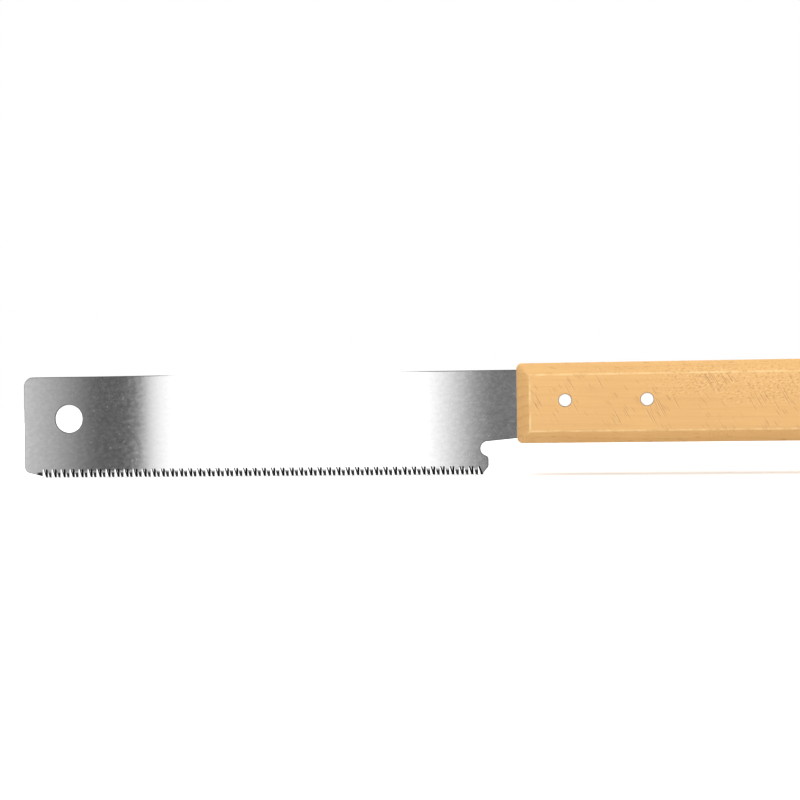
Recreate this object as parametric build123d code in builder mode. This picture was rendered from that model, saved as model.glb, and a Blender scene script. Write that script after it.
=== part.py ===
from build123d import *
import math
import os

# A small pull saw: a thin rectangular blade held in the kerf of a beech bar by two pins.
# Millimetres. X runs from the blade's free end to the butt of the handle, Y across the blade
# and Z up. The teeth point down: Z = 0 is the line of their tips, and X = 0 is half way along.

# Overall
exposed_blade = 138.3
handle_length = 130.0
free_end_x = -(exposed_blade + handle_length) / 2
handle_front_x = free_end_x + exposed_blade

# Blade
blade_thickness = 0.5
blade_depth = 28.1
top_corner_radius = 2.6
toe_corner_radius = 1.7
toe_corner_z = 1.65
hang_hole_radius = 3.9
hang_hole_x = free_end_x + 13.0
hang_hole_z = 16.4

# Teeth
tooth_count = 96
tooth_pitch = 1.3
tooth_depth = 2.3
tooth_land_length = 0.6
tooth_land_rise = 0.06
first_tip_x = free_end_x + 5.22
first_tip_z = 0.38
last_tip_x = first_tip_x + (tooth_count - 1) * tooth_pitch

# Heel: a round notch below the tang, and a rounded nib behind the last tooth
heel_x = last_tip_x + 1.58
heel_corner_z = 2.23
heel_corner_radius = 1.3
heel_slope_x = last_tip_x + 0.1
heel_slope_z = 0.45
nib_radius = 1.1
notch_radius = 1.95
notch_x = heel_x - 0.2
notch_z = 7.0

# Rivets, through the handle and the tang
rivet_radius = 1.75
rivet_chamfer = 0.15
front_rivet_x = handle_front_x + 12.9
rear_rivet_x = handle_front_x + 34.2
rivet_z = 19.7

# Tang: its lower edge rises at this angle, as a tangent to the top of the notch
tang_angle = 5.3
tang_corner_radius = 1.5
tang_end_x = rear_rivet_x + 8.5

# Handle: a straight bar with wide faces, bevelled all round
handle_thickness = 16.0
handle_height = 21.3
handle_bottom_z = 8.4
handle_corner_radius = 1.5
end_bevel = 3.7
edge_bevel = 3.2
bevel_depth = 3.2
kerf_width = 0.6
kerf_end_x = tang_end_x + 1.0

handle_middle_x = handle_front_x + handle_length / 2
handle_middle_z = handle_bottom_z + handle_height / 2
rivet_places = [(front_rivet_x, rivet_z), (rear_rivet_x, rivet_z)]

# Where the tang's edge meets the notch, and where the notch meets the nib's round top
tang_rise = math.radians(tang_angle)
notch_top_x = notch_x - notch_radius * math.sin(tang_rise)
notch_top_z = notch_z + notch_radius * math.cos(tang_rise)
tang_end_z = notch_top_z + (tang_end_x - notch_top_x) * math.tan(tang_rise)
nib_x = heel_x - nib_radius
nib_z = notch_z - math.sqrt((notch_radius + nib_radius) ** 2 - (notch_x - nib_x) ** 2)
nib_angle = math.degrees(math.atan2(notch_z - nib_z, notch_x - nib_x))


def tooth_row_corners():
    """Corners of the row of teeth in the side view, from the first tip to the last."""
    corners = [(first_tip_x, first_tip_z)]
    for tooth in range(1, tooth_count):
        tip_x = first_tip_x + tooth * tooth_pitch
        corners.append((tip_x - tooth_pitch, tooth_depth))
        corners.append((tip_x - tooth_land_length, tooth_land_rise))
        corners.append((tip_x, 0))
    return corners


with BuildPart() as blade:
    with BuildSketch(Plane.XZ):
        with BuildLine():
            tooth_row = Polyline(*tooth_row_corners())
            FilletPolyline(
                tooth_row @ 0,
                (free_end_x, toe_corner_z),
                (free_end_x, blade_depth),
                (tang_end_x, blade_depth),
                (tang_end_x, tang_end_z),
                (notch_top_x, notch_top_z),
                radius=[
                    toe_corner_radius,
                    top_corner_radius,
                    tang_corner_radius,
                    tang_corner_radius,
                ],
            )
            CenterArc((notch_x, notch_z), notch_radius, 90 + tang_angle, 90 + nib_angle - tang_angle)
            nib = CenterArc((nib_x, nib_z), nib_radius, nib_angle, -nib_angle)
            FilletPolyline(
                nib @ 1,
                (heel_x, heel_corner_z),
                (heel_slope_x, heel_slope_z),
                radius=heel_corner_radius,
            )
            Line((heel_slope_x, heel_slope_z), tooth_row @ 1)
        make_face()
        with Locations((hang_hole_x, hang_hole_z)):
            Circle(hang_hole_radius, mode=Mode.SUBTRACT)
        with Locations(*rivet_places):
            Circle(rivet_radius, mode=Mode.SUBTRACT)
    extrude(amount=blade_thickness / 2, both=True)

with BuildPart() as handle:
    # The bevels come from a loft on each side of the bar's plain middle layer
    middle_layer = handle_thickness / 2 - bevel_depth
    with BuildSketch(Plane.XZ):
        with Locations((handle_middle_x, handle_middle_z)):
            Rectangle(handle_length, handle_height)
    extrude(amount=middle_layer, both=True)
    for side in (-1, 1):
        with BuildSketch(Plane.XZ.offset(side * middle_layer)):
            with Locations((handle_middle_x, handle_middle_z)):
                Rectangle(handle_length, handle_height)
        with BuildSketch(Plane.XZ.offset(side * handle_thickness / 2)):
            with Locations((handle_middle_x, handle_middle_z)):
                Rectangle(handle_length - 2 * end_bevel, handle_height - 2 * edge_bevel)
        loft(ruled=True)
    # The four corners are rounded in the side view
    with BuildSketch(Plane.XZ):
        with Locations((handle_middle_x, handle_middle_z)):
            RectangleRounded(handle_length, handle_height, handle_corner_radius)
    extrude(amount=handle_thickness, both=True, mode=Mode.INTERSECT)
    # Saw kerf for the tang, open at the front, top and bottom
    with BuildSketch(Plane.XZ):
        with Locations((handle_front_x, handle_middle_z)):
            Rectangle(2 * (kerf_end_x - handle_front_x), 2 * handle_height)
    extrude(amount=kerf_width / 2, both=True, mode=Mode.SUBTRACT)
    with BuildSketch(Plane.XZ):
        with Locations(*rivet_places):
            Circle(rivet_radius)
    extrude(amount=handle_thickness, both=True, mode=Mode.SUBTRACT)


def make_rivet(place):
    """A plain pin across the handle, flush with both wide faces."""
    with BuildPart() as rivet:
        with BuildSketch(Plane.XZ):
            with Locations(place):
                Circle(rivet_radius)
        extrude(amount=handle_thickness / 2, both=True)
        chamfer(rivet.edges().filter_by(GeomType.CIRCLE), rivet_chamfer)
    return rivet.part


os.makedirs("parts", exist_ok=True)

blade.part.label = "blade"
export_step(blade.part, "parts/blade.step")
handle.part.label = "handle"
export_step(handle.part, "parts/handle.step")
for name, place in zip(("front_rivet", "rear_rivet"), rivet_places):
    rivet_part = make_rivet(place)
    rivet_part.label = name
    export_step(rivet_part, f"parts/{name}.step")
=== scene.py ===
"""Looks of a small pull saw: a ground steel blade pinned in the kerf of a bevelled beech handle.

X runs from the blade's free end to the handle's butt, Y across the blade and Z up from the tooth
tips. The near side is the one that faces -Y, and the far side faces +Y. All lengths are in metres.
"""

import logging
import math
from dataclasses import dataclass, field
from enum import Enum
from functools import cached_property
from typing import Optional, Sequence, Union

import bmesh
import bpy
from bmesh.types import BMesh, BMVert
from bpy.types import ID, Material, Mesh, Node, NodeSocket, NodeTree, Object
from mathutils import Euler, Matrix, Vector
from mathutils.geometry import tessellate_polygon


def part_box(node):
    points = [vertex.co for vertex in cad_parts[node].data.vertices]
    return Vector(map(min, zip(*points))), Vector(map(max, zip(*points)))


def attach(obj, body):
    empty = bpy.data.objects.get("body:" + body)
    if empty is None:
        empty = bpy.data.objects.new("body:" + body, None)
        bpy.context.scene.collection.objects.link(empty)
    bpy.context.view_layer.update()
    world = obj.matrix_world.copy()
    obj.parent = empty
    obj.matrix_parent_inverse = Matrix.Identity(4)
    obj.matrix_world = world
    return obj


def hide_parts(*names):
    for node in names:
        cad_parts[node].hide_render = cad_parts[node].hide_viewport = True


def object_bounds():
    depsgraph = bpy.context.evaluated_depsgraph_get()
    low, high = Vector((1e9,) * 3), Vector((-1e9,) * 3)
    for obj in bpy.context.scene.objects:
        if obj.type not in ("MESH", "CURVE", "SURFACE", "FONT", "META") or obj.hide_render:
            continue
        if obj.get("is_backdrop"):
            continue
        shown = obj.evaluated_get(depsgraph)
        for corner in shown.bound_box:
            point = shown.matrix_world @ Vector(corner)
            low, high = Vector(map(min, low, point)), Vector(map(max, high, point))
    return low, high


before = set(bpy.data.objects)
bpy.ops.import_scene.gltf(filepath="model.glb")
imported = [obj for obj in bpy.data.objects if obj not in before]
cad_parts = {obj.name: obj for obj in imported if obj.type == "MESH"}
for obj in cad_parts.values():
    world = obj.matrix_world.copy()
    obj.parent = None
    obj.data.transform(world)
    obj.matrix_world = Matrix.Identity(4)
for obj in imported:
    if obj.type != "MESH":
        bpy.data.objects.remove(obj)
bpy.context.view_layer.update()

MM = 0.001
ROOT_BODY = "root"
PIN_NODES = ("front_rivet", "rear_rivet")
MERGE_DISTANCE = 0.002 * MM
LOG = logging.getLogger("pull_saw")

Point2 = tuple[float, float]
Colour = tuple[float, float, float]
SocketInput = Union[float, int, Sequence[float], NodeSocket]
Inputs = dict[Union[str, int], SocketInput]


class Side(Enum):
    """The two wide faces of the saw, with the sign of Y that each one faces."""

    NEAR = -1
    FAR = 1

    @property
    def other(self) -> "Side":
        """The opposite face."""
        return Side(-self.value)


class Slot(Enum):
    """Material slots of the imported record."""

    STEEL = "blade_steel"
    BEECH = "beech"
    PIN = "rivet_metal"


# ---------------- node helpers


class NodeBench:
    """A node tree being wired, with one short call for each node."""

    def __init__(self, tree: NodeTree) -> None:
        """Starts on a node tree, which is emptied."""
        self.tree = tree
        tree.nodes.clear()

    def add(self, kind: str, inputs: Optional[Inputs] = None, **settings: object) -> Node:
        """Adds a node and fills its inputs.

        Args:
            kind: The node's type name.
            inputs: Values or sockets for its inputs, by name or number.
            **settings: Properties of the node itself, set before its inputs.

        Returns:
            The new node.
        """
        node = self.tree.nodes.new(kind)
        for name, value in settings.items():
            setattr(node, name, value)
        for key, value in (inputs or {}).items():
            if isinstance(value, NodeSocket):
                self.tree.links.new(value, node.inputs[key])
            else:
                node.inputs[key].default_value = value
        return node

    def math(self, operation: str, *values: SocketInput, clamp: bool = False) -> NodeSocket:
        """One arithmetic step on one to three values, held between 0 and 1 where clamp is set."""
        inputs = dict(enumerate(values))
        return self.add("ShaderNodeMath", inputs, operation=operation, use_clamp=clamp).outputs[0]

    def product(self, first: SocketInput, *others: SocketInput) -> SocketInput:
        """All the values multiplied together."""
        for other in others:
            first = self.math("MULTIPLY", first, other)
        return first

    def line(self, value: SocketInput, slope: SocketInput, start: SocketInput) -> NodeSocket:
        """The value times the slope, plus the start."""
        return self.math("MULTIPLY_ADD", value, slope, start)

    def split(self, vector: SocketInput) -> Sequence[NodeSocket]:
        """The X, Y and Z of a vector."""
        return self.add("ShaderNodeSeparateXYZ", {0: vector}).outputs

    def step(self, value: SocketInput, low: float, high: float) -> NodeSocket:
        """A smooth rise from 0 at low to 1 at high, or a fall where low is above high.

        Args:
            value: What is measured.
            low: Where the result is 0.
            high: Where the result is 1.

        Returns:
            The result's socket.
        """
        flip = low > high
        ends = {0: value, 1: min(low, high), 2: max(low, high), 3: float(flip), 4: float(not flip)}
        return self.add("ShaderNodeMapRange", ends, interpolation_type="SMOOTHSTEP").outputs[0]

    def mix(self, factor: SocketInput, a: SocketInput, b: SocketInput) -> NodeSocket:
        """Mixes two colours, with more of the second as the factor rises from 0 to 1."""
        a, b = (c if isinstance(c, NodeSocket) else (*c, 1.0) for c in (a, b))
        return self.add("ShaderNodeMix", {0: factor, 6: a, 7: b}, data_type="RGBA").outputs[2]

    @cached_property
    def place(self) -> NodeSocket:
        """The places on the object, in metres."""
        return self.add("ShaderNodeTexCoord").outputs["Object"]

    def cells(
        self, cells: Sequence[float], turn: Sequence[float] = (0, 0, 0), place: Optional[SocketInput] = None
    ) -> NodeSocket:
        """Turns the place and then stretches it, so that a pattern runs along the turned X.

        Args:
            cells: Pattern cells per metre along each turned axis.
            turn: Angles about X, Y and Z, in degrees.
            place: The place, or None for the object's own.

        Returns:
            The new place's socket.
        """
        angles = tuple(math.radians(a) for a in turn)
        inputs = {"Vector": self.place if place is None else place, "Rotation": angles}
        turned = self.add("ShaderNodeMapping", inputs).outputs[0]
        return self.add("ShaderNodeMapping", {"Vector": turned, "Scale": tuple(cells)}).outputs[0]

    def noise(
        self,
        cells: Sequence[float],
        detail: float = 2.0,
        roughness: float = 0.5,
        turn: Sequence[float] = (0, 0, 0),
    ) -> NodeSocket:
        """Soft noise about 0.5, laid out as cells says, with finer layers as detail and roughness say."""
        inputs = {"Vector": self.cells(cells, turn), "Scale": 1.0, "Detail": detail, "Roughness": roughness}
        return self.add("ShaderNodeTexNoise", inputs).outputs[0]

    def close(
        self, inputs: Inputs, height: Optional[SocketInput] = None, relief: float = 0.01 * MM
    ) -> None:
        """Adds the surface shader, its relief and the output.

        Args:
            inputs: The surface shader's inputs.
            height: Height of the relief between 0 and 1, or None for none.
            relief: What a height of 1 stands for.
        """
        if height is not None:
            bump = self.add("ShaderNodeBump", {"Height": height, "Distance": relief, "Strength": 1.0})
            inputs = {**inputs, "Normal": bump.outputs[0]}
        surface = self.add("ShaderNodeBsdfPrincipled", inputs)
        self.add("ShaderNodeOutputMaterial", {"Surface": surface.outputs[0]})


# ---------------- finishes


def shade(colour: Colour, share: float) -> Colour:
    """The colour with each part cut to a share of itself."""
    return tuple(share * part for part in colour)


class Finish:
    """Base of the surface finishes."""

    name: str

    def build(self) -> Material:
        """Makes the material.

        Returns:
            The finished material.
        """
        material = bpy.data.materials.new(self.name)
        material.use_nodes = True
        self.wire(NodeBench(material.node_tree))
        return material

    def wire(self, bench: NodeBench) -> None:
        """Wires the finish on its bench."""
        raise NotImplementedError


@dataclass(frozen=True)
class GroundSteel(Finish):
    """Fine ground spring steel that turns black at the hardened tooth tips.

    It is black under tip_line and bright over plain_line, between the first tooth and the last.
    """

    name: str = "ground_steel"
    steel: Colour = (0.75, 0.75, 0.755)
    shaded: float = 0.9
    speck: Colour = (0.9, 0.9, 0.9)
    burnt: Colour = (0.008, 0.008, 0.009)
    tip_line: float = 1.1 * MM
    plain_line: float = 1.95 * MM
    ragged: float = 0.5 * MM
    burn_start: float = -130.9 * MM
    burn_end: float = -6.6 * MM
    roughness: float = 0.055
    relief: float = 0.003 * MM

    def wire(self, bench: NodeBench) -> None:
        """Wires the burnt tips, the mottled ground faces and their fine lines and waves.

        Args:
            bench: The material's bench.
        """
        along, _, height = bench.split(bench.place)
        lifted = bench.line(bench.noise((900, 900, 900), 3), -self.ragged, height)
        middle = self.ragged / 2
        burn = bench.product(
            bench.step(lifted, self.plain_line - middle, self.tip_line - middle),
            bench.step(along, self.burn_end + 0.3 * MM, self.burn_end),
            bench.step(along, self.burn_start, self.burn_start + 0.6 * MM),
        )
        mottle = bench.noise((700, 700, 1000), 6, 0.62)
        specks = bench.step(bench.noise((1400, 1400, 1400)), 0.62, 0.78)
        lines = bench.noise((60, 9000, 9000), 4, 0.7)
        waves = bench.noise((45, 45, 30))
        steel = bench.mix(bench.step(mottle, 0.25, 0.75), shade(self.steel, self.shaded), self.steel)
        steel = bench.mix(bench.product(specks, 0.15), steel, self.speck)
        rough = bench.line(mottle, 0.06, self.roughness - 0.03)
        rough = bench.line(burn, 0.35, bench.line(specks, 0.03, rough))
        bench.close(
            {
                "Base Color": bench.mix(burn, steel, self.burnt),
                "Metallic": bench.line(burn, -0.6, 1.0),
                "Roughness": rough,
            },
            bench.line(waves, 1.0, bench.line(mottle, 0.1, bench.product(lines, 0.05))),
            self.relief,
        )


@dataclass(frozen=True)
class FiledFacet(Finish):
    """The bevels filed on one side of each tooth, near black: partly burnt by hardening near the points,
    and partly a painted dark reflection of the dark surroundings that the tilted bevels mirror down to the
    gullets.
    """

    name: str = "filed_facet"
    # Painted dark reflection: this near-black colour stands for what the bevels mirror, besides the burn
    # near the points.
    burnt: Colour = (0.006, 0.006, 0.007)
    bright: Colour = (0.12, 0.12, 0.125)

    def wire(self, bench: NodeBench) -> None:
        """Wires the file strokes."""
        strokes = bench.noise((400, 6000, 9000), 3, 0.6)
        bench.close(
            {
                "Base Color": bench.mix(bench.step(strokes, 0.66, 0.9), self.burnt, self.bright),
                "Metallic": 0.1,
                "Roughness": bench.line(strokes, 0.3, 0.4),
                "Specular IOR Level": 0.1,
            },
            strokes,
        )


@dataclass(frozen=True)
class PunchedEdge(Finish):
    """The dull, slightly rounded edge that the punch leaves round the sheet and its holes, whose near-black
    colour is partly painted: a painted dark reflection along the rim.

    The middle of the back is painted pale, a painted reflection of the bright strip that the steel mirrors
    there, which breaks the dark line that the edge draws along it.
    """

    name: str = "punched_edge"
    # Painted dark reflection: both edge colours are darker than dull sheared steel, for the dark
    # surroundings that the rounded rim mirrors.
    sheared_and_dark_reflection: Colour = (0.06, 0.06, 0.063)
    burnished: Colour = (0.18, 0.18, 0.185)
    # Painted reflection: the next colour is painted on the middle of the back, between the places on the
    # three lines after it.
    pale_and_highlight: Colour = (0.93, 0.93, 0.935)
    reflection_from: float = -98.0 * MM
    reflection_to: float = -16.0 * MM
    reflection_above: float = 26.5 * MM

    def wire(self, bench: NodeBench) -> None:
        """Wires the punch's streaks and the painted reflection on the middle of the back.

        Args:
            bench: The material's bench.
        """
        streaks = bench.noise((3500, 500, 3500), 4, 0.65)
        colour = bench.mix(bench.step(streaks, 0.35, 0.7), self.sheared_and_dark_reflection, self.burnished)
        along, _, height = bench.split(bench.place)
        # Painted reflection: the middle of the back is painted pale where the bright strip shows in the
        # steel
        painted_reflection = bench.product(
            bench.step(along, self.reflection_from, self.reflection_from + 10 * MM),
            bench.step(along, self.reflection_to, self.reflection_to - 16 * MM),
            bench.step(height, self.reflection_above, self.reflection_above + 1 * MM),
        )
        bench.close(
            {
                "Base Color": bench.mix(painted_reflection, colour, self.pale_and_highlight),
                "Metallic": bench.line(painted_reflection, -0.6, 0.9),
                "Roughness": bench.line(streaks, 0.3, 0.3),
            },
            streaks,
        )


@dataclass(frozen=True)
class Beech(Finish):
    """Honey-coloured beech under clear satin lacquer, with slanting ray flecks.

    A patch of the lacquer is crazed. The growth rings lie round the pith, whose Y and Z are
    beside and below the bar.
    """

    name: str = "lacquered_beech"
    light: Colour = (0.635, 0.375, 0.135)
    dark: Colour = (0.505, 0.268, 0.084)
    fleck: Colour = (0.22, 0.092, 0.028)
    # Pale tint for the crazed specks, and a painted highlight on the arrises and beside the long flecks.
    pale_and_highlight: Colour = (0.74, 0.52, 0.25)
    fleck_angle: float = 62.0
    crazed_from: float = 34.0 * MM
    crazed_to: float = 88.0 * MM
    crazed_above: float = 17.0 * MM
    ring_spacing: float = 2.3 * MM
    pith: Point2 = (-0.028, -0.075)
    relief: float = 0.035 * MM

    def wire(self, bench: NodeBench) -> None:
        """Wires the wood from its growth rings out to its lacquer.

        Args:
            bench: The material's bench.
        """
        along, _, height = bench.split(bench.place)
        normal = bench.add("ShaderNodeNewGeometry").outputs["Normal"]
        end_lean, side_lean, edge_lean = (bench.math("ABSOLUTE", part) for part in bench.split(normal))
        end_grain = bench.step(end_lean, 0.35, 0.9)
        edge_face = bench.step(edge_lean, 0.5, 0.85)
        late = self.late_wood(bench)
        fibres = bench.noise((70, 2600, 2600), 4, 0.6)
        fine = bench.noise((500, 9000, 9000))
        clouds = bench.noise((50, 130, 130), 3)
        pores = bench.step(bench.noise((900, 7000, 7000), 1), 0.66, 0.8)
        tone = bench.line(late, -0.22, 0.07)
        for pattern, strength in ((fibres, 0.5), (clouds, 0.5), (fine, 0.2)):
            tone = bench.line(pattern, strength, tone)
        tone = bench.math("MULTIPLY", tone, 1.0, clamp=True)

        # Ray flecks drift slightly out of line with each other, and long ones have a pale copy beside them,
        # a painted highlight on one side that gives them an embossed look
        drift = bench.add("ShaderNodeTexNoise", {"Vector": bench.place, "Scale": 55.0, "Detail": 1.0})
        inputs = {0: drift.outputs["Color"], 1: (1.1 * MM, 0.0, 1.1 * MM), 2: bench.place}
        drifted = bench.add("ShaderNodeVectorMath", inputs, operation="MULTIPLY_ADD").outputs[0]
        inputs = {0: drifted, 1: (0.2 * MM, 0.0, 0.12 * MM)}
        beside = bench.add("ShaderNodeVectorMath", inputs, operation="ADD").outputs[0]
        clumps = bench.step(bench.noise((110, 60, 110)), 0.36, 0.56)
        fleck_highlights, long_marks = (
            self.flecks(bench, place, (7.0 * MM, 0.16 * MM), 0.5, self.fleck_angle)
            for place in (beside, drifted)
        )
        fleck_highlights = bench.product(fleck_highlights, bench.math("SUBTRACT", clumps, edge_face, clamp=True))
        short_marks = self.flecks(bench, drifted, (2.6 * MM, 0.13 * MM), 0.5, self.fleck_angle - 9)
        face_marks = bench.product(bench.math("MAXIMUM", long_marks, short_marks), clumps)
        side_marks = self.flecks(bench, drifted, (2.2 * MM, 0.16 * MM), 0.45, 1.0)
        marks = bench.add("ShaderNodeMix", {0: edge_face, 2: face_marks, 3: side_marks}).outputs[0]
        marks = bench.product(marks, bench.math("SUBTRACT", 1.0, end_grain))

        # The lacquer has a crazed patch on the upper half of the wide faces
        patch = bench.product(
            bench.step(along, self.crazed_from, self.crazed_from + 14 * MM),
            bench.step(along, self.crazed_to, self.crazed_to - 16 * MM),
            bench.step(height, self.crazed_above, self.crazed_above + 3.5 * MM),
            bench.math("SUBTRACT", 1.0, edge_face),
            bench.step(clouds, 0.3, 0.5),
        )
        craze = bench.noise((1300, 500, 2300), turn=(0, 14, 0))
        cracks = self.flecks(bench, drifted, (5.0 * MM, 0.2 * MM), 0.3, 3.0)
        cracks = bench.math("MAXIMUM", bench.step(craze, 0.44, 0.34), cracks)
        dots = bench.step(bench.noise((400, 4500, 4500), 1), 0.58, 0.7)
        ends = bench.line(late, 0.2, bench.line(dots, 0.3, 0.1))

        # Painted highlight: the arrises between the wide faces and their bevels are painted paler, in
        # broken lines, for the highlight that they catch
        highlight_breaks = bench.noise((260, 500, 260), 3, 0.65)
        arris = bench.product(bench.step(side_lean, 0.99, 0.95), bench.step(side_lean, 0.78, 0.87))
        arris_highlight = bench.product(arris, bench.step(highlight_breaks, 0.32, 0.62))
        colour = bench.mix(tone, self.dark, self.light)
        for strength, where, tint in (
            (0.32, pores, self.fleck),
            # painted highlight beside the long flecks
            (0.35, fleck_highlights, self.pale_and_highlight),
            (0.42, bench.product(cracks, patch), self.fleck),
            (0.5, bench.product(bench.step(craze, 0.56, 0.68), patch), self.pale_and_highlight),
            (0.72, marks, self.fleck),
            (1.0, bench.product(end_grain, ends), self.fleck),
            # painted highlight along the arrises
            (0.7, arris_highlight, self.pale_and_highlight),
        ):
            colour = bench.mix(bench.product(where, strength), colour, tint)
        hollow = bench.math("MAXIMUM", marks, bench.product(pores, 0.6))
        bench.close(
            {
                "Base Color": colour,
                "Roughness": bench.line(fibres, 0.16, 0.36),
                "Specular IOR Level": 0.45,
                "Coat Weight": 0.35,
                "Coat Roughness": 0.22,
            },
            bench.line(fibres, 0.35, bench.product(hollow, -0.5)),
            self.relief,
        )

    def late_wood(self, bench: NodeBench) -> NodeSocket:
        """The dark late part of each growth ring round the pith.

        Args:
            bench: The material's bench.

        Returns:
            1 at the end of a ring's growth, and near 0 over most of it.
        """
        _, across, up = bench.split(bench.place)
        squares = (
            bench.math("POWER", bench.math("SUBTRACT", part, middle), 2.0)
            for part, middle in zip((across, up), self.pith)
        )
        radius = bench.math("SQRT", bench.math("ADD", *squares))
        radius = bench.line(bench.noise((9, 60, 60), 3), 9 * MM, radius)
        growth = bench.math("FRACT", bench.math("DIVIDE", radius, self.ring_spacing))
        return bench.math("POWER", growth, 5.0)

    def flecks(
        self, bench: NodeBench, place: NodeSocket, size: Point2, share: float, angle: float
    ) -> NodeSocket:
        """A scatter of thin lens-shaped marks, one in each chosen cell.

        Args:
            bench: The material's bench.
            place: The place on the object.
            size: Typical length and width of a mark.
            share: The share of cells that hold a mark.
            angle: Slope of the marks below the X axis, in degrees.

        Returns:
            1 inside a mark and 0 outside.
        """
        reach = 0.26
        grid = bench.cells((2 * reach / size[0], 0.9 / MM, 2 * reach / size[1]), (0, -angle, 0), place)
        cell = bench.add("ShaderNodeTexVoronoi", {"Vector": grid, "Scale": 1.0, "Randomness": 1.0})
        inside = bench.step(cell.outputs["Distance"], reach, 0.55 * reach)
        pick = bench.add("ShaderNodeSeparateColor", {0: cell.outputs["Color"]}).outputs[0]
        return bench.product(inside, bench.math("LESS_THAN", pick, share))


@dataclass(frozen=True)
class SandedAluminium(Finish):
    """Bright soft aluminium, sanded flush with the wood along the grain."""

    name: str = "sanded_aluminium"
    metal: Colour = (0.96, 0.96, 0.965)
    scratched: float = 0.88
    relief: float = 0.02 * MM

    def wire(self, bench: NodeBench) -> None:
        """Wires the sanding strokes and small dents.

        Args:
            bench: The material's bench.
        """
        strokes = bench.noise((300, 9000, 9000), 4, 0.7, (0, 4, 0))
        dents = bench.noise((1500, 1500, 1500))
        bright = bench.step(strokes, 0.3, 0.6)
        bench.close(
            {
                "Base Color": bench.mix(bright, shade(self.metal, self.scratched), self.metal),
                "Metallic": 0.75,
                "Roughness": bench.line(strokes, 0.25, 0.32),
            },
            bench.line(dents, 0.5, bench.product(strokes, 0.4)),
            self.relief,
        )


@dataclass(frozen=True)
class PalePaper(Finish):
    """Matt white paper for the floor."""

    name: str = "pale_paper"
    white: Colour = (0.9, 0.9, 0.9)
    tooth: float = 0.985

    def wire(self, bench: NodeBench) -> None:
        """Wires the paper's faint tooth."""
        colour = bench.mix(bench.noise((900, 900, 900)), shade(self.white, self.tooth), self.white)
        bench.close({"Base Color": colour, "Roughness": 0.9, "Specular IOR Level": 0.1})


# ---------------- mesh helpers


def new_object(name: str, data: ID) -> Object:
    """Puts a mesh, light or camera into the scene at the origin.

    Args:
        name: The object's name.
        data: The mesh, light or camera.

    Returns:
        The new object.
    """
    made = bpy.data.objects.new(name, data)
    bpy.context.scene.collection.objects.link(made)
    return made


def as_mesh(work: BMesh, name: str) -> Mesh:
    """Closes a mesh being worked on.

    Args:
        work: The mesh being worked on, which is freed.
        name: The new mesh's name.

    Returns:
        The mesh for an object.
    """
    mesh = bpy.data.meshes.new(name)
    work.to_mesh(mesh)
    work.free()
    return mesh


def evaluated_mesh(source: Object, name: str) -> Mesh:
    """The plain mesh that an object's modifiers make.

    Args:
        source: The object, with its modifiers.
        name: The new mesh's name.

    Returns:
        A mesh that stands alone.
    """
    graph = bpy.context.evaluated_depsgraph_get()
    made = bpy.data.meshes.new_from_object(source.evaluated_get(graph))
    made.name = name
    return made


def seal(mesh: Mesh, smooth_below: float) -> None:
    """Merges doubles, points the faces outwards and smooths all but the sharp edges.

    Args:
        mesh: The closed mesh.
        smooth_below: Edges that turn by less than this many degrees look smooth.
    """
    work = bmesh.new()
    work.from_mesh(mesh)
    bmesh.ops.remove_doubles(work, verts=work.verts, dist=MERGE_DISTANCE)
    bmesh.ops.recalc_face_normals(work, faces=work.faces)
    work.to_mesh(mesh)
    work.free()
    mesh.shade_smooth()
    mesh.set_sharp_from_angle(angle=math.radians(smooth_below))


def drop(*unwanted: Object) -> None:
    """Deletes helper objects that aren't part of the saw."""
    for item in unwanted:
        bpy.data.objects.remove(item, do_unlink=True)


def arc(centre: Point2, radius: float, start: float, sweep: float, steps: int) -> list[Point2]:
    """Points along an arc, ends included; start and sweep are in degrees, positive anticlockwise."""
    angles = [math.radians(start + sweep * i / steps) for i in range(steps + 1)]
    return [(centre[0] + radius * math.cos(a), centre[1] + radius * math.sin(a)) for a in angles]


def rounded(before: Point2, corner: Point2, after: Point2, radius: float, steps: int) -> list[Point2]:
    """The arc that rounds one corner of an outline.

    Args:
        before: A point on the line into the corner.
        corner: The sharp corner.
        after: A point on the line out of it.
        radius: The arc's radius.
        steps: How many straight pieces the arc has.

    Returns:
        The arc's points, in the order of travel.
    """
    tip = Vector(corner)
    into = (Vector(before) - tip).normalized()
    out = (Vector(after) - tip).normalized()
    half = into.angle(out) / 2
    centre = tip + (into + out).normalized() * radius / math.sin(half)
    start = tip + into * radius / math.tan(half) - centre
    end = tip + out * radius / math.tan(half) - centre
    first = math.degrees(math.atan2(start.y, start.x))
    turn = (math.degrees(math.atan2(end.y, end.x)) - first + 180) % 360 - 180
    return arc(tuple(centre), radius, first, turn, steps)


def dress(piece: Object, material: Material) -> None:
    """Makes a material the piece's only one."""
    piece.data.materials.clear()
    piece.data.materials.append(material)


def pin_place(node: str) -> tuple[Vector, float]:
    """The centre and the radius of a pin, from the frame."""
    low, high = (Vector(corner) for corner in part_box(node))
    return (low + high) / 2, (high.x - low.x) / 2


# ---------------- blade


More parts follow.
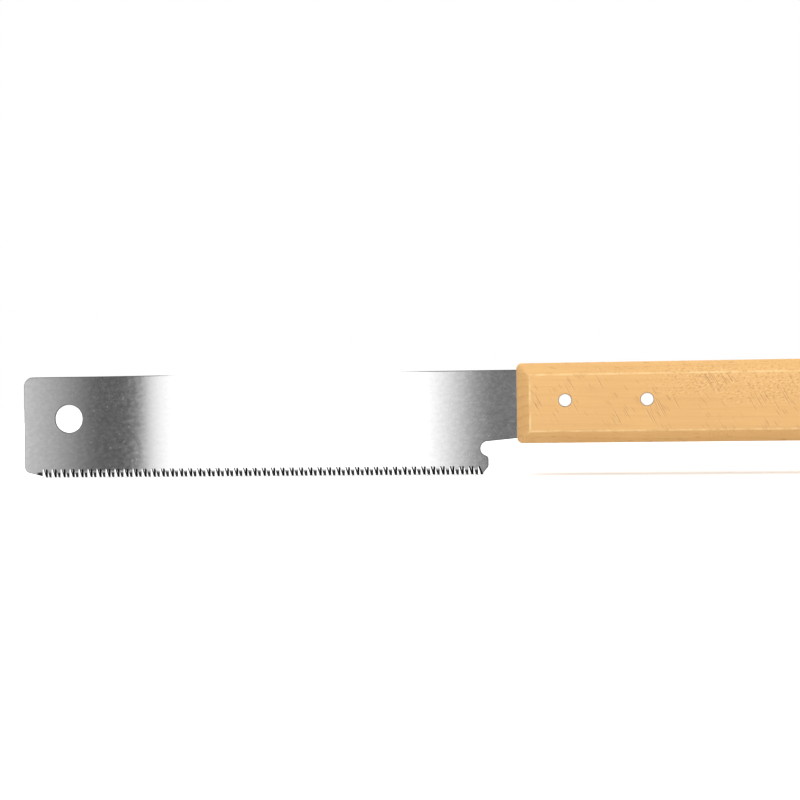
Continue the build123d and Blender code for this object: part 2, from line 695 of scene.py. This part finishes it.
@dataclass
class ToothShape:
    """Sizes of the teeth, which are filed on alternate sides and bent out to the other side."""

    pitch: float = 1.3 * MM
    count: int = 96
    depth: float = 2.3 * MM
    land: float = 0.6 * MM
    land_rise: float = 0.06 * MM
    lean: float = -0.08 * MM
    slant: float = 0.44 * MM
    gullet_floor: float = 0.4 * MM
    bend: float = 0.08 * MM
    band: float = 0.4 * MM

    def gullet(self, tooth: int, side: Side, behind: bool = False) -> Point2:
        """One end of the gullet's short floor after a tooth, from the first tooth's tip.

        Args:
            tooth: The tooth's number, from 0 at the free end.
            side: The face of the blade.
            behind: False for the end at this tooth and True for the end at the next one.

        Returns:
            The place in the side view.
        """
        filed = self.points_to(tooth) is not side
        start = tooth * self.pitch - self.lean - (self.slant if filed else 0.0)
        return (start + (self.gullet_floor if behind else 0.0), self.depth)

    def points_to(self, tooth: int) -> Side:
        """The face that a tooth's point lies on: near for even teeth and far for odd ones."""
        return Side.NEAR if tooth % 2 == 0 else Side.FAR

    def point(self, tooth: int) -> Point2:
        """The tooth's sharp point."""
        return (tooth * self.pitch, 0.0)

    def heel(self, tooth: int) -> Point2:
        """The back end of the short land beside the point."""
        return (tooth * self.pitch - self.land, self.land_rise)

    def ridge(self, tooth: int) -> Point2:
        """Where the two filed flanks meet, on the face that the tooth doesn't point to.

        Args:
            tooth: The tooth's number.

        Returns:
            The place in the side view.
        """
        filed = self.points_to(tooth).other
        back_x, top = self.gullet(tooth - 1, filed, behind=True)
        front_x, _ = self.gullet(tooth, filed)
        heel_x, heel_z = self.heel(tooth)
        plain_x, _ = self.gullet(tooth - 1, self.points_to(tooth), behind=True)
        back_slope = (heel_x - plain_x) / (heel_z - top)
        front_slope = -self.lean / top
        drop_to = (front_x - back_x) / (back_slope - front_slope)
        return (back_x + back_slope * drop_to, top + drop_to)

    def offset(self, tooth: int, height: float) -> float:
        """How far a tooth leans out of the blade's plane at a height, along Y."""
        return self.points_to(tooth).value * self.bend * max(0.0, 1 - height / self.depth)


@dataclass
class RimPoint:
    """One corner of the blade's outline, with its place on each face.

    Attributes:
        near: The place on the near face.
        far: The place on the far face.
        soft: Whether the edge is slightly rounded here.
    """

    near: Point2
    far: Point2
    soft: bool = True


@dataclass
class Blade:
    """The blade: a punched sheet with its row of teeth, hanging hole, heel and tang."""

    finish: GroundSteel = field(default_factory=GroundSteel)
    facet: FiledFacet = field(default_factory=FiledFacet)
    edge: PunchedEdge = field(default_factory=PunchedEdge)
    teeth: ToothShape = field(default_factory=ToothShape)
    first_tip_from_end: float = 5.22 * MM
    first_tip_rise: float = 0.38 * MM
    top_corner: float = 2.6 * MM
    toe_corner: float = 1.7 * MM
    toe_corner_rise: float = 1.65 * MM
    hole_from_end: float = 13.0 * MM
    hole_rise: float = 16.4 * MM
    hole_radius: float = 3.9 * MM
    heel_past_tip: float = 1.58 * MM
    heel_corner_rise: float = 2.23 * MM
    heel_corner: float = 1.3 * MM
    heel_slope_start: Point2 = (0.1 * MM, 0.45 * MM)
    nib_radius: float = 1.1 * MM
    notch_radius: float = 1.95 * MM
    notch_before_heel: float = 0.2 * MM
    notch_rise: float = 7.0 * MM
    tang_angle: float = 5.3
    tang_corner: float = 1.5 * MM
    last_filed_shift: float = 0.03 * MM
    last_filed_slope: float = 0.85
    last_heel_share: float = 0.8
    first_filed_rise: float = 0.1 * MM
    edge_round: float = 0.19 * MM
    arc_steps: int = 12
    hole_steps: int = 64
    bore_steps: int = 48
    smooth_below: float = 20.0

    def __post_init__(self) -> None:
        """Takes the blade's places from the frame."""
        low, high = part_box("blade")
        self.end_x, self.back_z, self.tang_x = low[0], high[2], high[0]
        self.half = (high[1] - low[1]) / 2
        self.tip_x = self.end_x + self.first_tip_from_end

    def build(self) -> Object:
        """Makes the whole blade.

        Returns:
            The finished piece.
        """
        cell = self.tooth_pair()
        sheet = new_object("blade_sheet", self.sheet_mesh())
        finishes = {"Steel": self.finish.build(), "Facet": self.facet.build(), "Edge": self.edge.build()}
        mesh = ToothRow(self.teeth, self.tip_x).lay(sheet, cell, finishes)
        drop(cell, sheet)
        seal(mesh, self.smooth_below)
        blade = new_object("ground_blade", mesh)
        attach(blade, ROOT_BODY)
        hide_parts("blade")
        return blade

    def tooth_pair(self) -> Object:
        """One cell of the row: an odd tooth and the even one after it, open at its ends and top.

        Returns:
            The cell, with its first gullet's tooth tip at the origin.
        """
        shape = self.teeth
        top = shape.depth + shape.band
        work = bmesh.new()
        mark = work.faces.layers.bool.new(ToothRow.FILED)

        def corner(place: Point2, side: Side, shift: float = 0.0) -> BMVert:
            """Adds one corner of the cell."""
            return work.verts.new((place[0], side.value * self.half + shift, place[1]))

        fronts = {(g, s): corner(shape.gullet(g, s), s) for g in (1, 2) for s in Side}
        backs = {(g, s): corner(shape.gullet(g, s, behind=True), s) for g in range(3) for s in Side}
        tops = {(g, s): corner((shape.gullet(g, s, behind=True)[0], top), s) for g in (0, 2) for s in Side}
        for tooth in (1, 2):
            full = shape.points_to(tooth)
            bare = full.other
            heel, point, ridge = shape.heel(tooth), shape.point(tooth), shape.ridge(tooth)
            heel_v = corner(heel, full, shape.offset(tooth, heel[1]))
            point_v = corner(point, full, shape.offset(tooth, point[1]))
            ridge_v = corner(ridge, bare, shape.offset(tooth, ridge[1]))
            before, front, back = (
                {s: ends[number, s] for s in Side}
                for ends, number in ((backs, tooth - 1), (fronts, tooth), (backs, tooth))
            )
            work.faces.new((before[full], heel_v, point_v, front[full]))
            work.faces.new((before[bare], ridge_v, front[bare]))
            for filed in (
                (before[bare], ridge_v, heel_v, before[full]),
                (ridge_v, point_v, heel_v),
                (ridge_v, front[bare], front[full], point_v),
                (front[bare], back[bare], back[full], front[full]),
            ):
                work.faces.new(filed)[mark] = True
        for s in Side:
            roots = [backs[0, s], fronts[1, s], backs[1, s], fronts[2, s], backs[2, s]]
            work.faces.new([tops[0, s], *roots, tops[2, s]])
        return new_object("tooth_pair", as_mesh(work, "tooth_pair"))

    def outline(self) -> list[RimPoint]:
        """The blade's outline from the last gullet, round the heel, tang, back and toe, to the first.

        Returns:
            The corners in order.
        """
        shape, last = self.teeth, self.teeth.count - 1
        last_x = self.tip_x + last * shape.pitch
        heel_x = last_x + self.heel_past_tip
        slope = (last_x + self.heel_slope_start[0], self.heel_slope_start[1])
        notch = (heel_x - self.notch_before_heel, self.notch_rise)
        nib_x = heel_x - self.nib_radius
        reach = self.notch_radius + self.nib_radius
        nib = (nib_x, notch[1] - math.sqrt(reach**2 - (notch[0] - nib_x) ** 2))
        nib_angle = math.degrees(math.atan2(notch[1] - nib[1], notch[0] - nib[0]))
        steps = self.arc_steps
        notch_arc = arc(
            notch, self.notch_radius, 180 + nib_angle, self.tang_angle - nib_angle - 90, 2 * steps
        )
        rise = (self.tang_x - notch_arc[-1][0]) * math.tan(math.radians(self.tang_angle))
        first_tip = (self.tip_x, self.first_tip_rise)
        stops = (
            notch_arc[-1],
            (self.tang_x, notch_arc[-1][1] + rise),
            (self.tang_x, self.back_z),
            (self.end_x, self.back_z),
            (self.end_x, self.toe_corner_rise),
            first_tip,
        )
        plain = [
            *rounded(slope, (heel_x, self.heel_corner_rise), (heel_x, nib[1]), self.heel_corner, steps),
            *arc(nib, self.nib_radius, 0.0, nib_angle, steps),
            *notch_arc[1:],
        ]
        for i, radius in enumerate((self.tang_corner, self.tang_corner, self.top_corner, self.toe_corner)):
            plain += rounded(*stops[i : i + 3], radius, steps)
        rim = [RimPoint(place, place) for place in plain]
        return [*self.last_tooth(last, slope), *rim, *self.first_tooth(first_tip)]

    def at_tips(self, place: Point2) -> Point2:
        """A place in the tooth row, moved from the first tip to where the row is."""
        return (place[0] + self.tip_x, place[1])

    def last_tooth(self, last: int, slope: Point2) -> list[RimPoint]:
        """The last tooth, which is filed only behind and runs into the heel.

        Args:
            last: The tooth's number.
            slope: Where the heel's slope starts.

        Returns:
            Its corners, from the last gullet on.
        """
        shape = self.teeth
        back = [self.at_tips(shape.gullet(last - 1, s, behind=True)) for s in Side]
        heel, point = self.at_tips(shape.heel(last)), self.at_tips(shape.point(last))
        filed_point = (point[0] + self.last_filed_shift, self.last_filed_slope * slope[1])
        filed_heel = tuple(Vector(back[0]).lerp(Vector(filed_point), self.last_heel_share))
        return [
            RimPoint(back[0], back[1], soft=False),
            RimPoint(filed_heel, heel, soft=False),
            RimPoint(filed_point, point, soft=False),
            RimPoint(slope, slope, soft=False),
        ]

    def first_tooth(self, tip: Point2) -> list[RimPoint]:
        """The first tooth, which is only a filed front edge at the end of the toe.

        Args:
            tip: The tooth's tip.

        Returns:
            Its corners, up to the first gullet.
        """
        shape = self.teeth
        ends = [[self.at_tips(shape.gullet(0, s, behind)) for s in Side] for behind in (False, True)]
        filed_tip = (tip[0] - shape.slant, tip[1] + self.first_filed_rise)
        return [
            RimPoint(tip, filed_tip, soft=False),
            *(RimPoint(near, far, soft=False) for near, far in ends),
        ]

    def levels(self, point: RimPoint, inward: Vector) -> list[Vector]:
        """The places that one corner of an outline takes through the sheet, near face first.

        Args:
            point: The corner.
            inward: The direction into the sheet in the side view, a mitre's length.

        Returns:
            Six places, of which several are the same where the edge is sharp.
        """
        near, far = Vector(point.near), Vector(point.far)
        if not point.soft:
            return [Vector((near.x, -self.half, near.y))] * 3 + [Vector((far.x, self.half, far.y))] * 3
        places = []
        eighth = math.radians(45)
        for side in (-1, 1):
            for angle in (0.0, eighth, 2 * eighth)[::-side]:
                inset = inward * self.edge_round * (1 - math.sin(angle))
                depth = self.half - self.edge_round * (1 - math.cos(angle))
                places.append(Vector((near.x + inset.x, side * depth, near.y + inset.y)))
        return places

    def add_rim(self, work: BMesh, points: list[RimPoint], closed: bool) -> list[list[BMVert]]:
        """Adds the wall along an outline, with its softly rounded edges.

        Args:
            work: The mesh being made.
            points: The outline, anticlockwise round steel and clockwise round a hole.
            closed: Whether the last point joins the first.

        Returns:
            For each point, its vertices from the near face to the far one.
        """
        count = len(points)
        columns = []
        for i, point in enumerate(points):
            here = Vector(point.near)
            before = Vector(points[i - 1].near) if closed or i else here
            after = Vector(points[(i + 1) % count].near) if closed or i < count - 1 else here
            into = (here - before).normalized() if here != before else (after - here).normalized()
            out = (after - here).normalized() if here != after else into
            mitre = Vector((-into.y - out.y, into.x + out.x)).normalized()
            mitre /= max(0.5, mitre.dot(Vector((-into.y, into.x))))
            column: list[BMVert] = []
            for place in self.levels(point, mitre):
                same = column and (column[-1].co - place).length < MERGE_DISTANCE
                column.append(column[-1] if same else work.verts.new(place))
            columns.append(column)
        filed = work.faces.layers.bool[ToothRow.FILED]
        punched = work.faces.layers.bool[ToothRow.PUNCHED]
        for i in range(count if closed else count - 1):
            a, b = columns[i], columns[(i + 1) % count]
            sharp = not (closed or points[i].soft or points[(i + 1) % count].soft)
            for j in range(len(a) - 1):
                ring = list(dict.fromkeys((a[j], a[j + 1], b[j + 1], b[j])))
                if len(ring) > 2:
                    work.faces.new(ring)[filed if sharp else punched] = True
        return columns

    def sheet_mesh(self) -> Mesh:
        """The blade without its regular teeth, open along the top of the tooth row.

        Returns:
            The mesh.
        """
        shape = self.teeth
        work = bmesh.new()
        for mark in (ToothRow.FILED, ToothRow.PUNCHED):
            work.faces.layers.bool.new(mark)
        rim = self.add_rim(work, self.outline(), closed=False)
        centre = (self.end_x + self.hole_from_end, self.hole_rise)
        hole = arc(centre, self.hole_radius, 0, -360, self.hole_steps)[:-1]
        holes = [self.add_rim(work, [RimPoint(p, p) for p in hole], closed=True)]
        for node in PIN_NODES:
            pin, radius = pin_place(node)
            bore = arc((pin.x, pin.z), radius, 0, -360, self.bore_steps)[:-1]
            holes.append(self.add_rim(work, [RimPoint(p, p, soft=False) for p in bore], closed=True))
        top = shape.depth + shape.band
        for side, level in ((Side.NEAR, 0), (Side.FAR, -1)):
            y = side.value * self.half
            line = [
                work.verts.new((self.tip_x + shape.gullet(g, side, behind=True)[0], y, top))
                for g in range(0, shape.count, 2)
            ]
            loops = [[column[level] for column in rim] + line]
            loops += [[column[level] for column in ring] for ring in holes]
            flat = [vert for loop in loops for vert in loop]
            outlines = [[Vector((v.co.x, v.co.z, 0)) for v in loop] for loop in loops]
            for triangle in tessellate_polygon(outlines):
                work.faces.new([flat[i] for i in triangle])
        marks = [work.faces.layers.bool[mark] for mark in (ToothRow.FILED, ToothRow.PUNCHED)]
        flats = {face for face in work.faces if not any(face[mark] for mark in marks)}
        inner = [edge for edge in work.edges if flats.issuperset(edge.link_faces)]
        bmesh.ops.beautify_fill(work, faces=list(flats), edges=inner, method="ANGLE")
        return as_mesh(work, "blade_sheet")


@dataclass
class ToothRow:
    """Lays one pair of teeth along the blade's edge with geometry nodes."""

    shape: ToothShape
    start_x: float
    FILED = "filed"
    PUNCHED = "punched"

    def lay(self, sheet: Object, cell: Object, finishes: dict[str, Material]) -> Mesh:
        """Joins the row of teeth to the sheet.

        Args:
            sheet: The blade without its regular teeth.
            cell: One pair of teeth.
            finishes: The finishes of the sheet, the filed facets and the punched edges.

        Returns:
            The joined mesh.
        """
        modifier = sheet.modifiers.new("tooth_row", "NODES")
        modifier.node_group = self.tree()
        values = {
            "Pair": cell,
            "Pairs": (self.shape.count - 2) // 2,
            "Pair Length": 2 * self.shape.pitch,
            "Start": self.start_x,
            **finishes,
        }
        for socket in modifier.node_group.interface.items_tree:
            if socket.name in values:
                modifier[socket.identifier] = values[socket.name]
        mesh = evaluated_mesh(sheet, "ground_blade")
        sheet.modifiers.remove(modifier)
        return mesh

    def tree(self) -> NodeTree:
        """Builds the node tree.

        Returns:
            The tree, whose inputs have the names that lay gives values to.
        """
        tree = bpy.data.node_groups.new("tooth_row", "GeometryNodeTree")
        bench = NodeBench(tree)
        kinds = {"Geometry": "Geometry", "Pair": "Object", "Pairs": "Int", "Pair Length": "Float"}
        kinds |= {"Start": "Float", "Steel": "Material", "Facet": "Material", "Edge": "Material"}
        for name, kind in kinds.items():
            tree.interface.new_socket(name=name, in_out="INPUT", socket_type=f"NodeSocket{kind}")
        tree.interface.new_socket(name="Geometry", in_out="OUTPUT", socket_type="NodeSocketGeometry")
        given = bench.add("NodeGroupInput").outputs
        start = bench.add("ShaderNodeCombineXYZ", {"X": given["Start"]})
        step = bench.add("ShaderNodeCombineXYZ", {"X": given["Pair Length"]})
        row = bench.add(
            "GeometryNodeMeshLine",
            {"Count": given["Pairs"], "Start Location": start.outputs[0], "Offset": step.outputs[0]},
            mode="OFFSET",
        )
        pair = bench.add("GeometryNodeObjectInfo", {"Object": given["Pair"]})
        laid = bench.add(
            "GeometryNodeInstanceOnPoints",
            {"Points": row.outputs["Mesh"], "Instance": pair.outputs["Geometry"]},
        )
        joined = bench.add("GeometryNodeJoinGeometry")
        for part in (given["Geometry"], laid.outputs[0]):
            tree.links.new(part, joined.inputs[0])
        real = bench.add("GeometryNodeRealizeInstances", {"Geometry": joined.outputs[0]})
        dressed = bench.add("GeometryNodeSetMaterial", {0: real.outputs[0], "Material": given["Steel"]})
        for mark, finish in ((self.FILED, "Facet"), (self.PUNCHED, "Edge")):
            chosen = bench.add("GeometryNodeInputNamedAttribute", {"Name": mark}, data_type="BOOLEAN")
            inputs = {0: dressed.outputs[0], 1: chosen.outputs["Attribute"], "Material": given[finish]}
            dressed = bench.add("GeometryNodeSetMaterial", inputs)
        bench.add("NodeGroupOutput", {0: dressed.outputs[0]})
        return tree


# ---------------- handle and pins


@dataclass
class Handle:
    """The beech bar: wide faces bevelled all round, softened arrises and a saw kerf in front."""

    finish: Beech = field(default_factory=Beech)
    end_bevel: float = 3.7 * MM
    edge_bevel: float = 3.2 * MM
    bevel_depth: float = 3.2 * MM
    corner: float = 1.5 * MM
    arris: float = 0.55 * MM
    kerf: float = 0.6 * MM
    kerf_past_tang: float = 1.0 * MM
    pin_gap: float = 0.04 * MM
    cut_clear: float = 5 * MM
    corner_steps: int = 5
    arris_steps: int = 4
    bore_steps: int = 64
    soften_above: float = 22.0
    smooth_below: float = 24.0

    def __post_init__(self) -> None:
        """Takes the handle's places from the frame."""
        low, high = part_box("handle")
        self.low, self.high = Vector(low), Vector(high)
        self.tang_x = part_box("blade")[1][0]

    def ring(self, inset_x: float, inset_z: float, y: float) -> list[Vector]:
        """One closed outline of the bar across Y.

        Args:
            inset_x: How far it lies inside the bar's ends.
            inset_z: How far it lies inside the bar's top and bottom.
            y: Where it lies across the bar.

        Returns:
            Its places; all rings have the same number.
        """
        x0, x1 = self.low.x + inset_x, self.high.x - inset_x
        z0, z1 = self.low.z + inset_z, self.high.z - inset_z
        corners = [(x0, z0), (x1, z0), (x1, z1), (x0, z1)]
        radius = self.corner if inset_x == 0 else 0.35 * self.corner
        places: list[Vector] = []
        for i, here in enumerate(corners):
            bend = rounded(corners[i - 1], here, corners[(i + 1) % 4], radius, self.corner_steps)
            places += [Vector((p[0], y, p[1])) for p in bend]
        return places

    def bar(self) -> Object:
        """The bar before it is cut, with its arrises softened.

        Returns:
            A helper object.
        """
        work = bmesh.new()
        flank = self.high.y - self.bevel_depth
        inset, full = (self.end_bevel, self.edge_bevel), (0.0, 0.0)
        rings = ((inset, self.low.y), (full, -flank), (full, flank), (inset, self.high.y))
        verts = [[work.verts.new(place) for place in self.ring(*size, y)] for size, y in rings]
        work.faces.new(verts[0])
        work.faces.new(verts[-1])
        count = len(verts[0])
        for a, b in zip(verts, verts[1:]):
            for i in range(count):
                work.faces.new((a[i], a[(i + 1) % count], b[(i + 1) % count], b[i]))
        bmesh.ops.recalc_face_normals(work, faces=work.faces)
        bar = new_object("bar", as_mesh(work, "bar"))
        soften = bar.modifiers.new("soften", "BEVEL")
        soften.width = self.arris
        soften.segments = self.arris_steps
        soften.limit_method = "ANGLE"
        soften.angle_limit = math.radians(self.soften_above)
        bar.data = evaluated_mesh(bar, "soft_bar")
        bar.modifiers.clear()
        return bar

    def cutters(self) -> list[Object]:
        """The solids that cut the kerf and the pin holes.

        Returns:
            Helper objects.
        """
        reach = Vector((self.cut_clear,) * 3)
        start, stop = self.low - reach, self.high + reach
        low = (start.x, -self.kerf / 2, start.z)
        high = (self.tang_x + self.kerf_past_tang, self.kerf / 2, stop.z)
        work = bmesh.new()
        bmesh.ops.create_cube(work, size=1.0)
        for vert in work.verts:
            vert.co = Vector(b if c > 0 else a for a, b, c in zip(low, high, vert.co))
        made = [new_object("kerf", as_mesh(work, "kerf"))]
        for node in PIN_NODES:
            centre, radius = pin_place(node)
            radius += self.pin_gap
            profile = [(0.0, start.y), (radius, start.y), (radius, stop.y), (0.0, stop.y)]
            made.append(new_object(f"bore_{node}", lathe(profile, centre, self.bore_steps)))
        return made

    def build(self) -> Object:
        """Makes the handle.

        Returns:
            The finished piece.
        """
        bar = self.bar()
        cutters = self.cutters()
        for cutter in cutters:
            cut = bar.modifiers.new(cutter.name, "BOOLEAN")
            cut.operation = "DIFFERENCE"
            cut.solver = "EXACT"
            cut.object = cutter
        mesh = evaluated_mesh(bar, "beech_handle")
        drop(bar, *cutters)
        seal(mesh, self.smooth_below)
        handle = new_object("beech_handle", mesh)
        dress(handle, self.finish.build())
        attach(handle, ROOT_BODY)
        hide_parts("handle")
        return handle


def lathe(profile: Sequence[Point2], centre: Vector, steps: int) -> Mesh:
    """Turns a profile round an axis along Y.

    Args:
        profile: (radius, y) pairs; the first and last have radius 0.
        centre: A point on the axis.
        steps: How many flats the round has.

    Returns:
        A closed mesh.
    """
    work = bmesh.new()
    rings: list[list[BMVert]] = []
    for radius, y in profile:
        if radius == 0:
            rings.append([work.verts.new((centre.x, y, centre.z))])
            continue
        places = arc((centre.x, centre.z), radius, 0, 360, steps)[:-1]
        rings.append([work.verts.new((x, y, z)) for x, z in places])
    for a, b in zip(rings, rings[1:]):
        for i in range(steps):
            j = (i + 1) % steps
            quad = (a[i % len(a)], a[j % len(a)], b[j % len(b)], b[i % len(b)])
            work.faces.new(list(dict.fromkeys(quad)))
    bmesh.ops.recalc_face_normals(work, faces=work.faces)
    return as_mesh(work, "turned")


@dataclass
class Pin:
    """One solid pin through the handle and the tang, with a crowned head on each side."""

    node: str
    crown: float = 0.05 * MM
    rim_round: float = 0.28 * MM
    rings: int = 5
    rim_steps: int = 3
    steps: int = 64
    smooth_below: float = 40.0

    def build(self, metal: Material) -> Object:
        """Makes the pin.

        Args:
            metal: Its finish.

        Returns:
            The finished piece.
        """
        low, high = (corner[1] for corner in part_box(self.node))
        centre, radius = pin_place(self.node)
        flat = radius - self.rim_round
        shares = [i / self.rings for i in range(self.rings + 1)]
        head = [(flat * share, self.crown * share**2) for share in shares]
        for i in range(1, self.rim_steps + 1):
            angle = math.radians(90 * i / self.rim_steps)
            sink = self.crown + self.rim_round * (1 - math.cos(angle))
            head.append((flat + self.rim_round * math.sin(angle), sink))
        profile = [(r, low + sink) for r, sink in head] + [(r, high - sink) for r, sink in head[::-1]]
        mesh = lathe(profile, centre, self.steps)
        seal(mesh, self.smooth_below)
        pin = new_object(f"{self.node}_pin", mesh)
        dress(pin, metal)
        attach(pin, ROOT_BODY)
        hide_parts(self.node)
        return pin


# ---------------- studio


@dataclass(frozen=True)
class Panel:
    """One large soft light that shows in no gloss, aimed at the saw.

    Attributes:
        place: Its centre.
        size: Its width and height.
        power: Its power in watts.
    """

    place: tuple[float, float, float]
    size: Point2
    power: float

    def hang(self, name: str) -> None:
        """Hangs the panel.

        Args:
            name: The light's name.
        """
        data = bpy.data.lights.new(name, "AREA")
        data.shape = "RECTANGLE"
        data.size, data.size_y = self.size
        data.energy = self.power
        light = new_object(name, data)
        light.location = self.place
        light.rotation_euler = (-Vector(self.place)).to_track_quat("-Z", "Y").to_euler()
        light.visible_glossy = False


@dataclass
class Studio:
    """A pale floor, white strips with dark gaps that show in the steel, soft panels and the camera.

    The strips repeat round the set. Each entry of strips is how far round one repeat it lies, from 0
    to 1, and how bright the surround is there. They fade out between the two angles of top_fade above
    and below the saw, and between those of side_fade to its right and left.
    """

    floor_side: float = 40.0
    floor_drop: float = 0.02 * MM
    sky_strength: float = 3.6
    sky_width: float = 100.0
    camera_past_front: float = 22.95 * MM
    camera_back: float = 410.9 * MM
    camera_rise: float = 19.58 * MM
    yaw: float = 7.6
    tilt: float = 0.11
    roll: float = -0.77
    lens: float = 68.69
    sensor: float = 36.0
    nearest: float = 0.01
    strip_period: float = 24.0
    strips: tuple[Point2, ...] = (
        *((0.0, 1.5), (0.06, 1.3), (0.105, 0.74), (0.14, 0.57), (0.165, 0.43), (0.19, 0.27)),
        *((0.212, 0.14), (0.262, 0.12), (0.281, 0.2), (0.295, 1.1), (0.33, 1.55), (0.71, 1.7)),
        *((0.76, 1.0), (0.8, 0.42), (0.825, 0.22), (0.885, 0.2), (0.905, 0.6), (0.925, 1.6)),
    )
    top_fade: Point2 = (44.0, 30.0)
    side_fade: Point2 = (72.0, 58.0)
    surround: float = 0.04
    surround_in_gloss: float = 0.3
    panels: dict[str, Panel] = field(
        default_factory=lambda: {
            "front": Panel((0.45, -1.4, 0.55), (1.4, 0.9), 5.0),
            "back": Panel((-0.45, 1.4, 0.55), (1.4, 0.9), 5.0),
        }
    )

    def floor(self) -> None:
        """Lays the floor under the tooth tips."""
        half = self.floor_side / 2
        work = bmesh.new()
        corners = [(-half, -half, 0), (half, -half, 0), (half, half, 0), (-half, half, 0)]
        work.faces.new([work.verts.new(c) for c in corners])
        floor = new_object("floor", as_mesh(work, "floor"))
        floor.location.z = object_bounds()[0][2] - self.floor_drop
        dress(floor, PalePaper().build())
        floor.visible_glossy = False
        floor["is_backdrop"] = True

    def surroundings(self) -> None:
        """Stands the strips in front of and behind the set, dark above, below and at the sides."""
        world = bpy.data.worlds.new("studio")
        bpy.context.scene.world = world
        world.use_nodes = True
        bench = NodeBench(world.node_tree)
        way = bench.add("ShaderNodeTexCoord").outputs["Generated"]
        right, away, up = bench.split(way)
        angle = bench.math("DEGREES", bench.math("ARCTAN2", right, bench.product(away, -1.0)))
        turn = bench.math("FRACT", bench.math("DIVIDE", bench.math("ADD", angle, 360.0), self.strip_period))
        ramp = bench.add("ShaderNodeValToRGB", {0: turn})
        while len(ramp.color_ramp.elements) < len(self.strips):
            ramp.color_ramp.elements.new(0.5)
        for element, (position, level) in zip(ramp.color_ramp.elements, self.strips):
            element.position = position
            element.color = (level, level, level, 1.0)
        leans = (bench.math("ARCSINE", bench.math("ABSOLUTE", part)) for part in (up, right))
        rise, side = (bench.math("DEGREES", lean) for lean in leans)
        shown = bench.product(bench.step(rise, *self.top_fade), bench.step(side, *self.side_fade))
        path = bench.add("ShaderNodeLightPath").outputs
        dim, bright = ((level,) * 3 for level in (self.surround, self.surround_in_gloss))
        around = bench.mix(path["Is Glossy Ray"], dim, bright)
        gloss = bench.mix(shown, around, ramp.outputs[0])
        colour = bench.mix(path["Is Camera Ray"], gloss, (1.0, 1.0, 1.0))
        light = bench.add("ShaderNodeBackground", {"Color": colour, "Strength": 1.0})
        bench.add("ShaderNodeOutputWorld", {"Surface": light.outputs[0]})

    def sky(self) -> None:
        """Lights the whole floor evenly from a wide round patch overhead."""
        data = bpy.data.lights.new("sky", "SUN")
        data.energy = self.sky_strength
        data.angle = math.radians(self.sky_width)
        new_object("sky", data).visible_glossy = False

    def camera(self) -> None:
        """Sets the camera level with the handle, a little to the right of its front end."""
        data = bpy.data.cameras.new("camera")
        data.sensor_width = self.sensor
        data.lens = self.lens
        data.clip_start = self.nearest
        camera = new_object("camera", data)
        front_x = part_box("handle")[0][0]
        camera.location = (front_x + self.camera_past_front, -self.camera_back, self.camera_rise)
        turn = Euler(tuple(math.radians(a) for a in (90 + self.tilt, 0.0, self.yaw)), "XYZ").to_matrix()
        spin = Euler((0.0, 0.0, math.radians(self.roll)), "XYZ").to_matrix()
        camera.rotation_euler = (turn @ spin).to_euler()
        bpy.context.scene.camera = camera

    def build(self) -> None:
        """Sets up the whole studio."""
        view = bpy.context.scene.view_settings
        view.view_transform = "Standard"
        view.look = "None"
        self.floor()
        self.surroundings()
        self.sky()
        for name, panel in self.panels.items():
            panel.hang(name)
        self.camera()


def main() -> None:
    """Builds the saw piece by piece, then the studio."""
    logging.basicConfig(level=logging.INFO, format="%(name)s: %(message)s")
    pieces = [Blade().build(), Handle().build()]
    metal = SandedAluminium().build()
    pieces += [Pin(node).build(metal) for node in PIN_NODES]
    for piece in pieces:
        LOG.info("%s: %d faces", piece.name, len(piece.data.polygons))
    Studio().build()


if __name__ == "__main__":
    main()
